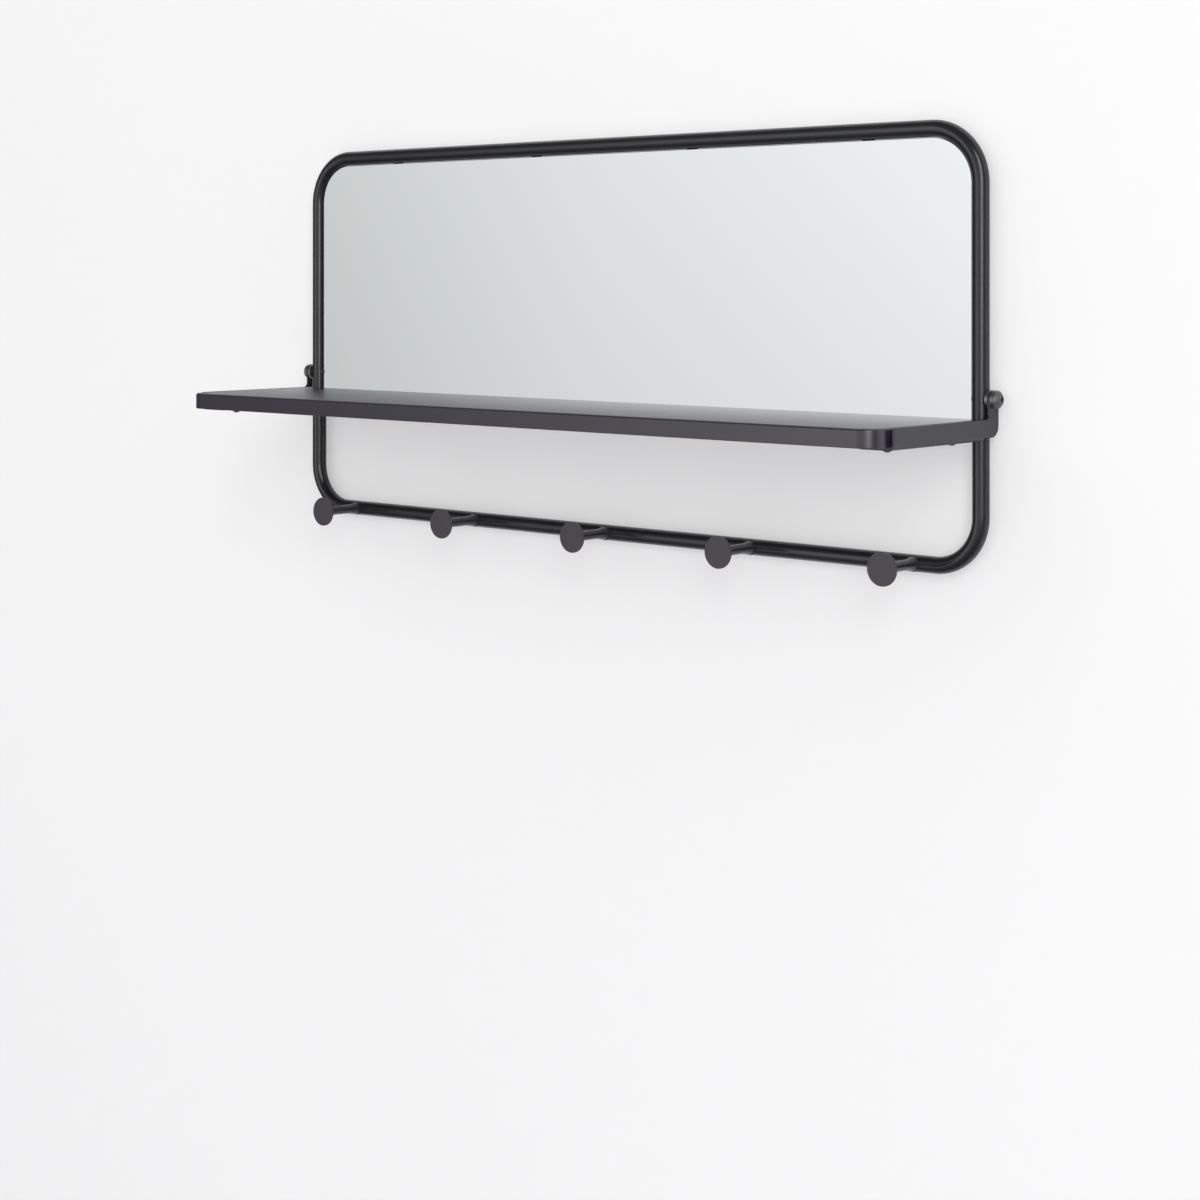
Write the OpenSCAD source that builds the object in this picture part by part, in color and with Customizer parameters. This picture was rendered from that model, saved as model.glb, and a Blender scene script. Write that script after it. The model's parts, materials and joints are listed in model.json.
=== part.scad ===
// Wall mirror in a bent round-tube frame, with a shelf that folds up on two
// side bolts and a row of peg hooks along the bottom rail.
// X is the width, -Y is the front, Z is up. The wall is the plane y = 0, and
// the origin is midway between the entry holes of the two keyholes.

/* [Frame] */
// Overall width of the tube frame
frame_w = 916; // [700:1:1200]
// Overall height of the tube frame
frame_h = 422; // [400:1:560]
// Outer diameter of the tube
tube_d = 16; // [14.5:0.5:19]
// Wall of the tube
tube_wall = 1.2; // [0.8:0.1:1.6]
// Bend radius of the two top corners, at the tube's centre line
top_bend_r = 52; // [36:1:70]
// Bend radius of the two bottom corners, at the tube's centre line
bottom_bend_r = 48; // [36:1:60]
// Gap between the tube and the pieces welded or stuck round it
weld_gap = 0.15; // [0.05:0.01:0.3]

/* [Mirror] */
// Thickness of the glass
glass_t = 3; // [2:0.5:4]
// Gap between the edge of the glass and the tube
glass_gap = 0.6; // [0.5:0.1:2]
// How far the lower edge of the glass lies below the top of the shelf
glass_drop = 14; // [11:1:16]
// Thickness of the foam tape behind the glass
tape_t = 0.5; // [0.3:0.1:1]
// Width of each strip of foam tape
tape_w = 20; // [10:1:30]
// Distance of the upper and lower strips from the edges of the glass
tape_inset = 30; // [26:1:40]
// Thickness of the backing board
board_t = 4; // [3:0.5:5]

/* [Lower channel] */
// Sheet thickness of the channel that carries the mirror's lower edge
channel_t = 1.2; // [0.8:0.1:1.5]
// Height of the channel's two lips above its floor
channel_lip = 6; // [4:0.5:8]
// Clearance between the channel's lips and what stands in it
channel_play = 0.2; // [0.1:0.05:0.3]

/* [Mirror tabs] */
// Sheet thickness of the tabs that hold the backing board
tab_t = 1.5; // [1:0.1:1.7]
// Width of each tab along the tube
tab_w = 14; // [10:1:20]
// Reach of each tab from the tube's centre line
tab_reach = 24; // [20:1:30]
// Number of tabs along the top tube
top_tab_count = 4; // [2:1:6]
// Distance of the outermost top tabs from the centre line of the side tubes
top_tab_margin = 127.5; // [90:0.5:200]
// Height of the upper side tabs above the entry holes of the keyholes
upper_tab_z = 76; // [50:1:80]
// Height of the lower side tabs below the entry holes of the keyholes
lower_tab_z = 62; // [45:1:78]
// Diameter of the small screws through the tabs
tab_screw_d = 3; // [2.5:0.1:3.5]
// Head diameter of the small screws
tab_screw_head_d = 5.6; // [5:0.1:7]
// Head height of the small screws
tab_screw_head_h = 1.8; // [1.2:0.1:2.4]
// Room between the heads of the small screws and the wall
wall_room = 0.7; // [0.3:0.1:1.5]
// How far the small screws reach into the backing board
tab_screw_bite = 3.2; // [2:0.1:3.4]

/* [Hangers] */
// Height of the keyholes' entry holes above the underside of the frame
hang_height = 250; // [235:1:290]
// Sheet thickness of the hanger plates, which is also the tube's distance from the wall
hanger_t = 2; // [1.5:0.1:3]
// Distance of the keyholes from the centre line of the side tubes
keyhole_inset = 24; // [20:1:30]
// Width of the keyhole's slot
slot_w = 5; // [4.2:0.1:6]
// Diameter of the keyhole's entry hole
entry_d = 10; // [9:0.1:12]
// Height of the hanging screw in its slot above the centre of the entry hole
slot_run = 11; // [9:0.5:14]
// Margin of the hanger plate around its slot
hanger_margin = 9; // [7:0.5:12]
// Margin of the hanger plate below its entry hole
hanger_foot = 4.5; // [3:0.5:8]
// How far the hanger plate and its weld reach past the centre line of the tube
hanger_lap = 2; // [1.5:0.5:6]
// Clearance between the hanger plate and the notch in the backing board
notch_play = 3; // [2:0.5:6]
// Size of the weld fillet between a hanger plate and the tube
hanger_weld = 4; // [2:0.5:5]
// Diameter of the rubber wall bumpers behind the bottom rail
bumper_d = 12; // [8:1:16]
// Distance of the wall bumpers from the centre line of the side tubes
bumper_inset = 120; // [80:1:200]

/* [Hooks] */
// Distance of the outermost hooks from the centre line of the side tubes
hook_margin = 70; // [68:1:120]
// How far the face of the discs stands in front of the tube's centre line
hook_reach = 58; // [45:1:75]
// Diameter of the hook discs
disc_d = 32; // [26:1:40]
// Thickness of the hook discs
disc_t = 2.5; // [2:0.1:5]
// Chamfer round the rims of the hook discs
disc_chamfer = 0.5; // [0.2:0.1:0.8]
// Diameter of the hook arms
arm_d = 10; // [8:0.5:11]
// Diameter of the hook arms where they meet the tube
arm_root_d = 14; // [12:0.5:14.5]
// Length over which the hook arms flare out in front of the tube
arm_flare = 10; // [6:0.5:14]

/* [Shelf] */
// Depth of the shelf board
shelf_d = 179.5; // [140:0.5:210]
// Thickness of the shelf board
shelf_t = 17; // [15:0.5:22]
// Radius of the two front corners of the shelf, seen from above
shelf_corner_r = 20; // [10:1:22]
// Gap between the ends of the shelf and the bends of the brackets
shelf_play = 0.45; // [0.1:0.05:0.6]
// Gap between the back edge of the shelf and the tubes it rests against
rest_gap = 0.3; // [0.2:0.05:0.5]
// Height of the top of the shelf below the pivot
shelf_drop = 18; // [17.5:0.5:24]

/* [Brackets] */
// Sheet thickness of the brackets
plate_t = 2.5; // [2:0.1:4]
// Width of the flange under the shelf, from the outside of the plate
flange_w = 38; // [34:1:44]
// Inside bend radius of the brackets
bend_r = 3; // [2:0.1:3.2]
// Set-back of the brackets from the front of the shelf
bracket_setback = 24; // [23:1:40]
// Set-back of the flange from the back edge of the shelf
flange_setback = 7.5; // [3:0.5:20]
// Corner radius of the flange
flange_corner_r = 5; // [3:0.5:8]
// Width of the upright that carries the pivot
upright_w = 15; // [13:0.5:18]
// Height of the upright's foot above the underside of the flange
heel_lift = 3; // [1:0.5:6]
// Radius of the outer corner at the foot of the upright
elbow_r = 11; // [6:0.5:14]
// Radius of the inner corner at the foot of the upright
inner_r = 5; // [3:0.5:7]
// Distance of the shelf screws from the outside of the plate
screw_inset = 26; // [22:0.5:28]
// Distance of the front shelf screws from the front end of the flange
front_screw_end = 28; // [12:1:50]
// Distance of the back shelf screws from the back end of the flange
back_screw_end = 15; // [12:1:50]
// Diameter of the shelf screws
screw_d = 4.5; // [3.5:0.1:5]
// Head diameter of the shelf screws
screw_head_d = 10; // [8:0.1:11]
// Head height of the shelf screws
screw_head_h = 4.2; // [3:0.1:4.5]
// How far the shelf screws reach into the board
screw_bite = 12; // [9:0.5:13]
// Width of the cross recess in the shelf screws
screw_recess_w = 1.3; // [1:0.1:1.6]
// Span of the cross recess in the shelf screws
screw_recess_span = 4.5; // [3:0.1:5]
// Depth of the cross recess in the shelf screws
screw_recess_depth = 2; // [1.2:0.1:2.5]

/* [Pivot] */
// Height of the pivot bolts above the underside of the frame
pivot_height = 164; // [158:0.5:175]
// Diameter of the pivot bolts
bolt_d = 6; // [5:0.1:7]
// Head diameter of the pivot bolts
bolt_head_d = 15; // [12:0.1:16]
// Head height of the pivot bolts
bolt_head_h = 4.2; // [3:0.1:5]
// Length of the pivot bolts inside the threaded inserts
bolt_bite = 11; // [9:0.5:12]
// Depth of thread left beyond the end of each pivot bolt
thread_spare = 1; // [0.5:0.1:1.5]
// Outer diameter of the flat washers
washer_d = 17; // [15:0.1:18]
// Thickness of the washers between the tube and the brackets
inner_washer_t = 3.4; // [2:0.1:4]
// Thickness of the flat washers outside the brackets
outer_washer_t = 2.2; // [1.5:0.1:3]
// Outer diameter of the lock washers under the bolt heads
lock_washer_d = 16.4; // [14:0.1:17]
// Thickness of the lock washers
lock_washer_t = 2.2; // [1.5:0.1:3]
// Width of the slit in the lock washers
lock_slit_w = 1; // [0.5:0.1:2]
// Radial running clearance of the bracket on its bolt
pivot_play = 0.05; // [0.02:0.01:0.09]
// Side clearance between the bracket and each washer
side_play = 0.05; // [0.02:0.01:0.1]
// Outer diameter of the threaded inserts across the tube
insert_d = 10; // [8.5:0.1:11]
// How far the inserts stand out on the inner side of the tube
insert_proud = 0.2; // [0.1:0.1:0.4]
// Width of the cross recess in the pivot bolts
bolt_recess_w = 1.6; // [1.2:0.1:2]
// Span of the cross recess in the pivot bolts
bolt_recess_span = 6; // [4:0.1:7]
// Depth of the cross recess in the pivot bolts
bolt_recess_depth = 2.2; // [1.5:0.1:2.6]

/* [Hidden] */
$fn = 96;
eps = 1;               // overlap of a cutting shape past the face it cuts
fit = 0.05;            // clearance of a fastener in its own hole
hook_count = 5;
tube_r = tube_d / 2;
saddle_r = tube_r + weld_gap;
mid_x = frame_w / 2 - tube_r;              // centre line of the side tubes
bottom_z = -hang_height;                   // underside of the frame
rail_z = bottom_z + tube_r;                // centre line of the bottom rail
top_z = bottom_z + frame_h - tube_r;       // centre line of the top tube
tube_y = -(hanger_t + tube_r);             // centre line of the tube
pivot_z = bottom_z + pivot_height;
shelf_top = pivot_z - shelf_drop;
shelf_under = shelf_top - shelf_t;
shelf_back = tube_y - tube_r - rest_gap;
shelf_front = shelf_back - shelf_d;
board_back = -(wall_room + tab_screw_head_h + tab_t);
board_front = board_back - board_t;
glass_back = board_front - tape_t;
glass_face = glass_back - glass_t;
mirror_inset = tube_r + glass_gap;         // from the tube's centre line to the edge of the glass
mirror_low = shelf_top - glass_drop;
washer_in = frame_w / 2;                   // faces of the stack on the pivot, from the tube outwards
plate_in = washer_in + inner_washer_t + side_play;
plate_out = plate_in + plate_t;
washer_out = plate_out + side_play;
lock_in = washer_out + outer_washer_t;
head_in = lock_in + lock_washer_t;
bracket_front = shelf_front + bracket_setback;
bracket_under = shelf_under - plate_t;
shelf_half = plate_in - bend_r - shelf_play;
flange_back = shelf_back - flange_setback;
screw_y = [bracket_front + front_screw_end, flange_back - back_screw_end];
screw_x = plate_out - screw_inset;
keyhole_x = mid_x - keyhole_inset;
hanger_in = keyhole_x - slot_w / 2 - hanger_margin;
hanger_low = -(entry_d / 2 + hanger_foot);
hanger_high = slot_run + slot_w / 2 + hanger_margin;
bumper_x = mid_x - bumper_inset;
tab_hole = (tab_reach + mirror_inset) / 2; // from the tube's centre line to the tab's screw
disc_back = tube_y - hook_reach + disc_t;

// Places of the side tabs as [side of the frame, height], and along X of the top tabs and hooks
side_tabs = [for (side = [-1, 1], z = [-lower_tab_z, upper_tab_z]) [side, z]];
function spread(count, reach) = [for (i = [0:count - 1]) reach * (2 * i / (count - 1) - 1)];
top_tab_x = spread(top_tab_count, mid_x - top_tab_margin);
hook_x = spread(hook_count, mid_x - hook_margin);

coat = [0.13, 0.13, 0.14];
lacquer = [0.15, 0.15, 0.16];
zinc = [0.62, 0.62, 0.60];
gunmetal = [0.22, 0.23, 0.24];

// Shapes that several pieces share ------------------------------------------

// Draws its children on the right side, or mirrored on the left
module on_side(side) {
    if (side > 0) children();
    else mirror([1, 0, 0]) children();
}

// Solid along X from x0, at a place in the YZ plane
module x_rod(x0, length, r, y, z) {
    translate([x0, y, z]) rotate([0, 90, 0]) cylinder(r = r, h = length);
}

// Solid that points towards the front, from y0 back to the wall side
module y_rod(y0, length, r, x, z) {
    translate([x, y0, z]) rotate([-90, 0, 0]) cylinder(r = r, h = length);
}

// Turns an outline drawn as (x, z) into a slab from y0, with thickness t
module upright_slab(y0, t) {
    translate([0, y0 + t, 0]) rotate([90, 0, 0]) linear_extrude(t) children();
}

// What is left of a square corner outside a round one, to be cut away
module corner_waste(r) {
    difference() {
        square(r + eps);
        circle(r);
    }
}

// Closed loop of round bar along the frame's centre line
module loop_bar(r) {
    for (side = [-1, 1])
        translate([side * mid_x, tube_y, rail_z + bottom_bend_r])
            cylinder(r = r, h = top_z - rail_z - top_bend_r - bottom_bend_r);
    x_rod(-mid_x + top_bend_r, 2 * (mid_x - top_bend_r), r, tube_y, top_z);
    x_rod(-mid_x + bottom_bend_r, 2 * (mid_x - bottom_bend_r), r, tube_y, rail_z);
    for (side = [0, 1]) mirror([side, 0, 0]) {
        translate([mid_x - top_bend_r, tube_y, top_z - top_bend_r])
            rotate([90, 0, 0]) rotate_extrude(angle = 90) translate([top_bend_r, 0]) circle(r);
        translate([mid_x - bottom_bend_r, tube_y, rail_z + bottom_bend_r])
            rotate([90, 0, 0]) rotate_extrude(angle = 90, start = 270)
                translate([bottom_bend_r, 0]) circle(r);
    }
}

// Outline of the mirror inside the loop: square at the foot, round at the top
module mirror_outline(inset) {
    half = mid_x - inset;
    high = top_z - inset;
    r = top_bend_r - inset;
    difference() {
        translate([-half, mirror_low]) square([2 * half, high - mirror_low]);
        for (side = [0, 1]) mirror([side, 0])
            translate([half - r, high - r]) corner_waste(r);
    }
}

// Frame -----------------------------------------------------------------------

module frame_tube() {
    color(coat) difference() {
        loop_bar(tube_r);
        loop_bar(tube_r - tube_wall);
        for (side = [-1, 1])
            x_rod(side * mid_x - tube_d, 2 * tube_d, insert_d / 2 + fit, tube_y, pivot_z);
    }
}

module mirror_channel() {
    front = glass_face - channel_play - channel_t;
    back = board_back + channel_play + channel_t;
    floor_z = mirror_low - channel_t;
    high = channel_t + channel_lip;
    color(coat) difference() {
        translate([-mid_x, front, floor_z]) cube([2 * mid_x, back - front, high]);
        translate([-mid_x - eps, front + channel_t, mirror_low])
            cube([2 * (mid_x + eps), back - front - 2 * channel_t, channel_lip + eps]);
        for (side = [-1, 1])
            translate([side * mid_x, tube_y, floor_z - eps]) cylinder(r = saddle_r, h = high + 2 * eps);
    }
}

module mirror_glass() {
    color([0.80, 0.84, 0.84]) upright_slab(glass_face, glass_t) mirror_outline(mirror_inset);
}

module mirror_tape() {
    length = 2 * (mid_x - mirror_inset - top_bend_r);
    color("white") for (z = [mirror_low + tape_inset, (mirror_low + top_z - tube_r) / 2,
                             top_z - mirror_inset - tape_inset])
        translate([-length / 2, glass_back, z - tape_w / 2]) cube([length, tape_t, tape_w]);
}

module backing_board() {
    color([0.45, 0.33, 0.22]) difference() {
        upright_slab(board_front, board_t) mirror_outline(mirror_inset);
        for (side = [-1, 1]) on_side(side)
            translate([hanger_in - notch_play, board_front - eps, hanger_low - notch_play])
                cube([mid_x, board_t + 2 * eps, hanger_high - hanger_low + 2 * notch_play]);
        for (t = side_tabs) on_side(t[0])
            y_rod(board_back - tab_screw_bite, board_t, tab_screw_d / 2 + fit, mid_x - tab_hole, t[1]);
        for (x = top_tab_x)
            y_rod(board_back - tab_screw_bite, board_t, tab_screw_d / 2 + fit, x, top_z - tab_hole);
    }
}

// Tab that points along -X from a tube whose centre line is the Z axis
module tab() {
    difference() {
        translate([-tab_reach, board_back, -tab_w / 2]) cube([tab_reach, tab_t, tab_w]);
        translate([0, tube_y, -tab_w]) cylinder(r = saddle_r, h = 2 * tab_w);
        y_rod(board_back - eps, tab_t + 2 * eps, tab_screw_d / 2 + fit, -tab_hole, 0);
    }
}

// Small pan-head screw on the Y axis, driven from the back through a tab
module tab_screw() {
    y_rod(board_back - tab_screw_bite, tab_screw_bite + tab_t + fit, tab_screw_d / 2, 0, 0);
    y_rod(board_back + tab_t, tab_screw_head_h, tab_screw_head_d / 2, 0, 0);
}

module side_tab(side, z) {
    color(coat) on_side(side) translate([mid_x, 0, z]) tab();
}

module top_tabs() {
    color(coat) for (x = top_tab_x)
        translate([x, 0, top_z]) rotate([0, -90, 0]) tab();
}

module side_tab_screws() {
    color(zinc) for (t = side_tabs) on_side(t[0]) translate([mid_x - tab_hole, 0, t[1]]) tab_screw();
}

module top_tab_screws() {
    color(zinc) for (x = top_tab_x) translate([x, 0, top_z - tab_hole]) tab_screw();
}

// Hanging ---------------------------------------------------------------------

module hanger(side) {
    high = hanger_high - hanger_low;
    through = hanger_t + 2 * eps;
    color(coat) on_side(side) difference() {
        union() {
            translate([hanger_in, -hanger_t, hanger_low])
                cube([mid_x + hanger_lap - hanger_in, hanger_t, high]);
            translate([mid_x - tube_r, -hanger_t - hanger_weld, hanger_low])
                cube([tube_r + hanger_lap, hanger_weld, high]);
        }
        translate([mid_x, tube_y, hanger_low - eps]) cylinder(r = saddle_r, h = high + 2 * eps);
        y_rod(-hanger_t - eps, through, entry_d / 2, keyhole_x, 0);
        y_rod(-hanger_t - eps, through, slot_w / 2, keyhole_x, slot_run);
        translate([keyhole_x - slot_w / 2, -hanger_t - eps, 0]) cube([slot_w, through, slot_run]);
    }
}

module wall_bumper(side) {
    color([0.08, 0.08, 0.08]) difference() {
        y_rod(tube_y, -tube_y, bumper_d / 2, side * bumper_x, rail_z);
        x_rod(side * bumper_x - bumper_d, 2 * bumper_d, saddle_r, tube_y, rail_z);
    }
}

// Hooks -----------------------------------------------------------------------

module hook_arm(i) {
    straight = tube_y - tube_r - arm_flare - disc_back;
    widen = (arm_root_d - arm_d) / 2;
    sweep_r = (arm_flare * arm_flare + widen * widen) / (2 * widen);
    color(coat) difference() {
        translate([hook_x[i - 1], disc_back, rail_z]) rotate([-90, 0, 0]) rotate_extrude()
            difference() {
                square([arm_root_d / 2, tube_y - disc_back]);
                translate([arm_d / 2, -eps]) square([widen + eps, straight + eps]);
                translate([arm_d / 2 + sweep_r, straight]) circle(sweep_r);
            }
        x_rod(hook_x[i - 1] - arm_root_d, 2 * arm_root_d, saddle_r, tube_y, rail_z);
    }
}

module hook_disc(i) {
    r = disc_d / 2;
    c = disc_chamfer;
    color([0.17, 0.16, 0.17])
        translate([hook_x[i - 1], disc_back - disc_t, rail_z]) rotate([-90, 0, 0]) rotate_extrude()
            polygon([[0, 0], [r - c, 0], [r, c], [r, disc_t - c], [r - c, disc_t], [0, disc_t]]);
}

// Pivot -----------------------------------------------------------------------

module pivot_insert(side) {
    length = tube_d + insert_proud;
    color(gunmetal) on_side(side) difference() {
        x_rod(washer_in - length, length, insert_d / 2, tube_y, pivot_z);
        x_rod(washer_in - bolt_bite - thread_spare, bolt_bite + thread_spare + eps,
              bolt_d / 2 + fit, tube_y, pivot_z);
    }
}

module pivot_bolt(side) {
    head_r = bolt_head_d / 2;
    dome_r = (head_r * head_r + bolt_head_h * bolt_head_h) / (2 * bolt_head_h);
    color(gunmetal) on_side(side) difference() {
        union() {
            x_rod(washer_in - bolt_bite, head_in - washer_in + bolt_bite + fit, bolt_d / 2, tube_y, pivot_z);
            translate([head_in, tube_y, pivot_z]) rotate([0, 90, 0]) rotate_extrude()
                intersection() {
                    square([head_r, bolt_head_h]);
                    translate([0, bolt_head_h - dome_r]) circle(dome_r);
                }
        }
        for (turn = [0, 90])
            translate([head_in + bolt_head_h, tube_y, pivot_z]) rotate([turn, 0, 0])
                cube([2 * bolt_recess_depth, bolt_recess_w, bolt_recess_span], center = true);
    }
}

module washer(side, x0, t, d) {
    color(zinc) on_side(side) difference() {
        x_rod(x0, t, d / 2, tube_y, pivot_z);
        x_rod(x0 - eps, t + 2 * eps, bolt_d / 2 + pivot_play, tube_y, pivot_z);
    }
}

// Spring washer, with its slit at the foot
module lock_washer(side) {
    difference() {
        washer(side, lock_in, lock_washer_t, lock_washer_d);
        color(zinc) on_side(side) translate([lock_in - eps, tube_y - lock_slit_w / 2, pivot_z - lock_washer_d])
            cube([lock_washer_t + 2 * eps, lock_slit_w, lock_washer_d]);
    }
}

// Shelf -----------------------------------------------------------------------

module shelf_board() {
    r = shelf_corner_r;
    color(lacquer) difference() {
        translate([0, 0, shelf_under]) linear_extrude(shelf_t) difference() {
            translate([-shelf_half, shelf_front]) square([2 * shelf_half, shelf_d]);
            for (side = [0, 1]) mirror([side, 0])
                translate([shelf_half - r, shelf_front + r]) mirror([0, 1]) corner_waste(r);
        }
        for (side = [-1, 1], y = screw_y)
            translate([side * screw_x, y, shelf_under - eps])
                cylinder(r = screw_d / 2 + fit, h = screw_bite + eps + fit);
    }
}

// Side view of the bracket's plate as (y, z), above the bend
module plate_outline() {
    half = upright_w / 2;
    low = bracket_under + plate_t + bend_r;
    heel = bracket_under + heel_lift;
    difference() {
        union() {
            translate([bracket_front, low]) square([tube_y - bracket_front, shelf_top - low]);
            translate([flange_back, heel]) square([tube_y + half - flange_back, shelf_top - heel]);
            translate([tube_y - half, shelf_top - eps]) square([upright_w, shelf_drop + eps]);
            translate([tube_y, pivot_z]) circle(half);
            translate([tube_y - half - inner_r, shelf_top - eps]) square([inner_r + eps, inner_r + eps]);
        }
        translate([tube_y + half - elbow_r, heel + elbow_r]) mirror([0, 1]) corner_waste(elbow_r);
        translate([tube_y - half - inner_r, shelf_top + inner_r]) circle(inner_r);
        translate([tube_y, pivot_z]) circle(bolt_d / 2 + pivot_play);
    }
}

module bracket(side) {
    outer_r = plate_t + bend_r;
    run = flange_back - bracket_front;
    color([0.19, 0.19, 0.20]) on_side(side) difference() {
        union() {
            translate([plate_in, 0, 0]) rotate([90, 0, 90]) linear_extrude(plate_t) plate_outline();
            translate([plate_out - outer_r, bracket_front, bracket_under + outer_r])
                rotate([-90, 0, 0]) intersection() {
                    difference() {
                        cylinder(r = outer_r, h = run);
                        translate([0, 0, -eps]) cylinder(r = bend_r, h = run + 2 * eps);
                    }
                    cube([outer_r, outer_r, run]);
                }
            translate([0, 0, bracket_under]) linear_extrude(plate_t) difference() {
                translate([plate_out - flange_w, bracket_front]) square([flange_w - outer_r, run]);
                translate([plate_out - flange_w + flange_corner_r, bracket_front + flange_corner_r])
                    rotate(180) corner_waste(flange_corner_r);
                translate([plate_out - flange_w + flange_corner_r, flange_back - flange_corner_r])
                    rotate(90) corner_waste(flange_corner_r);
            }
        }
        for (y = screw_y)
            translate([screw_x, y, bracket_under - eps])
                cylinder(r = screw_d / 2 + fit, h = plate_t + 2 * eps);
    }
}

// Round-head screw from below, through the flange into the board
module shelf_screw(side, y) {
    head_r = screw_head_d / 2;
    dome_r = (head_r * head_r + screw_head_h * screw_head_h) / (2 * screw_head_h);
    color(gunmetal) translate([side * screw_x, y, bracket_under]) {
        translate([0, 0, -fit]) cylinder(r = screw_d / 2, h = plate_t + screw_bite + fit);
        rotate([180, 0, 0]) difference() {
            rotate_extrude() intersection() {
                square([head_r, screw_head_h]);
                translate([0, screw_head_h - dome_r]) circle(dome_r);
            }
            for (turn = [0, 90]) rotate([0, 0, turn]) translate([0, 0, screw_head_h])
                cube([screw_recess_w, screw_recess_span, 2 * screw_recess_depth], center = true);
        }
    }
}

frame_tube();
mirror_channel();
mirror_glass();
mirror_tape();
backing_board();
side_tab(-1, -lower_tab_z);  // side_tab_left_low
side_tab(-1, upper_tab_z);  // side_tab_left_high
side_tab(1, -lower_tab_z);  // side_tab_right_low
side_tab(1, upper_tab_z);  // side_tab_right_high
top_tabs();
side_tab_screws();
top_tab_screws();
hanger(-1);  // hanger_left
hanger(1);  // hanger_right
wall_bumper(-1);  // wall_bumper_left
wall_bumper(1);  // wall_bumper_right
for (i = [1:hook_count]) {
    hook_arm(i);
    hook_disc(i);
}
pivot_insert(-1);  // pivot_insert_left
pivot_insert(1);  // pivot_insert_right
pivot_bolt(-1);  // pivot_bolt_left
pivot_bolt(1);  // pivot_bolt_right
washer(-1, washer_in, inner_washer_t, washer_d);  // inner_washer_left
washer(1, washer_in, inner_washer_t, washer_d);  // inner_washer_right
washer(-1, washer_out, outer_washer_t, washer_d);  // outer_washer_left
washer(1, washer_out, outer_washer_t, washer_d);  // outer_washer_right
lock_washer(-1);  // lock_washer_left
lock_washer(1);  // lock_washer_right
shelf_board();
bracket(-1);  // bracket_left
bracket(1);  // bracket_right
shelf_screw(-1, screw_y[0]);  // shelf_screw_left_front
shelf_screw(-1, screw_y[1]);  // shelf_screw_left_back
shelf_screw(1, screw_y[0]);  // shelf_screw_right_front
shelf_screw(1, screw_y[1]);  // shelf_screw_right_back
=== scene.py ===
import bpy
import bmesh
import json
import math
from mathutils import Matrix, Vector


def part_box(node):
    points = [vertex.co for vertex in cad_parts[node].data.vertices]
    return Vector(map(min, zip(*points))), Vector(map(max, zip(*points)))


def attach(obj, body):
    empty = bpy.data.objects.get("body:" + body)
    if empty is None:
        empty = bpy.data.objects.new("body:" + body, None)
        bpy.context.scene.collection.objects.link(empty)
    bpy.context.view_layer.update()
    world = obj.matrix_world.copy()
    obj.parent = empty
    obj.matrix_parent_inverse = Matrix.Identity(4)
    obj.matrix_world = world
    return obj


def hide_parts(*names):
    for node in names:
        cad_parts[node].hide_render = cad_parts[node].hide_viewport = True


# Wall mirror in a bent tube frame with five peg hooks, and a shelf that swings up on two side bolts.
# Metres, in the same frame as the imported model: -Y is the front, +Z is up, the wall is the plane y = 0.

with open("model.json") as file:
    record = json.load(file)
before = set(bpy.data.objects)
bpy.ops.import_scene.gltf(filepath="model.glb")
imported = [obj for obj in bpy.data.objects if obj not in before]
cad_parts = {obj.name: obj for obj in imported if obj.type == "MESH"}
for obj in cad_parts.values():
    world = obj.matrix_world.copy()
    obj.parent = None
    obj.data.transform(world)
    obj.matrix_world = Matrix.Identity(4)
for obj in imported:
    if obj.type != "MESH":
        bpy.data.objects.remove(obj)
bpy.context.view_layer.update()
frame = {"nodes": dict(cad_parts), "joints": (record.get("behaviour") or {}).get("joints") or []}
mm = 0.001


def middle(nodeName):
    low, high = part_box(nodeName)
    return (low + high) / 2


tubeLow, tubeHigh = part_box("frame_tube")
tubeDiameter = tubeHigh.y - tubeLow.y
tubeRadius = tubeDiameter / 2
tubeY = (tubeLow.y + tubeHigh.y) / 2
railZ = tubeLow.z + tubeRadius
pivot = Vector(frame["joints"][0]["pos_m"])


# Angles at which edges stay sharp or vanish, and gaps at which the points of packed and made meshes merge
meshCare = {"sharp above": math.radians(35), "same plane": math.radians(0.6), "flat weight": 80,
            "packed gap": 0.002 * mm, "made gap": 0.0005 * mm}
easedEdges = {"brackets": 0.35 * mm, "back steel": 0.2 * mm, "steps": 2}


def objectFrom(name, data):
    holder = bpy.data.objects.new(name, data)
    bpy.context.scene.collection.objects.link(holder)
    return holder


def pieceFrom(name, bm):
    mesh = bpy.data.meshes.new(name)
    bm.to_mesh(mesh)
    bm.free()
    return objectFrom(name, mesh)


def applied(piece):
    # Turns a piece with live modifiers into a plain mesh
    depsgraph = bpy.context.evaluated_depsgraph_get()
    mesh = bpy.data.meshes.new_from_object(piece.evaluated_get(depsgraph), depsgraph=depsgraph)
    piece.modifiers.clear()
    old = piece.data
    piece.data = mesh
    bpy.data.meshes.remove(old)
    return piece


def shaded(piece):
    # Smooth shading in which the large flat faces stay flat
    for face in piece.data.polygons:
        face.use_smooth = True
    piece.data.set_sharp_from_angle(angle=meshCare["sharp above"])
    even = piece.modifiers.new("normals", "WEIGHTED_NORMAL")
    even.keep_sharp = True
    even.weight = meshCare["flat weight"]
    return applied(piece)


def bevelled(piece, width, steps):
    bevel = piece.modifiers.new("edges", "BEVEL")
    bevel.width = width
    bevel.segments = steps
    bevel.limit_method = "ANGLE"
    bevel.angle_limit = meshCare["sharp above"]
    return shaded(applied(piece))


def arcPoints(centreX, centreY, radius, start, end, steps):
    angles = [math.radians(start + (end - start) * i / steps) for i in range(steps + 1)]
    return [(centreX + radius * math.cos(angle), centreY + radius * math.sin(angle)) for angle in angles]


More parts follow.
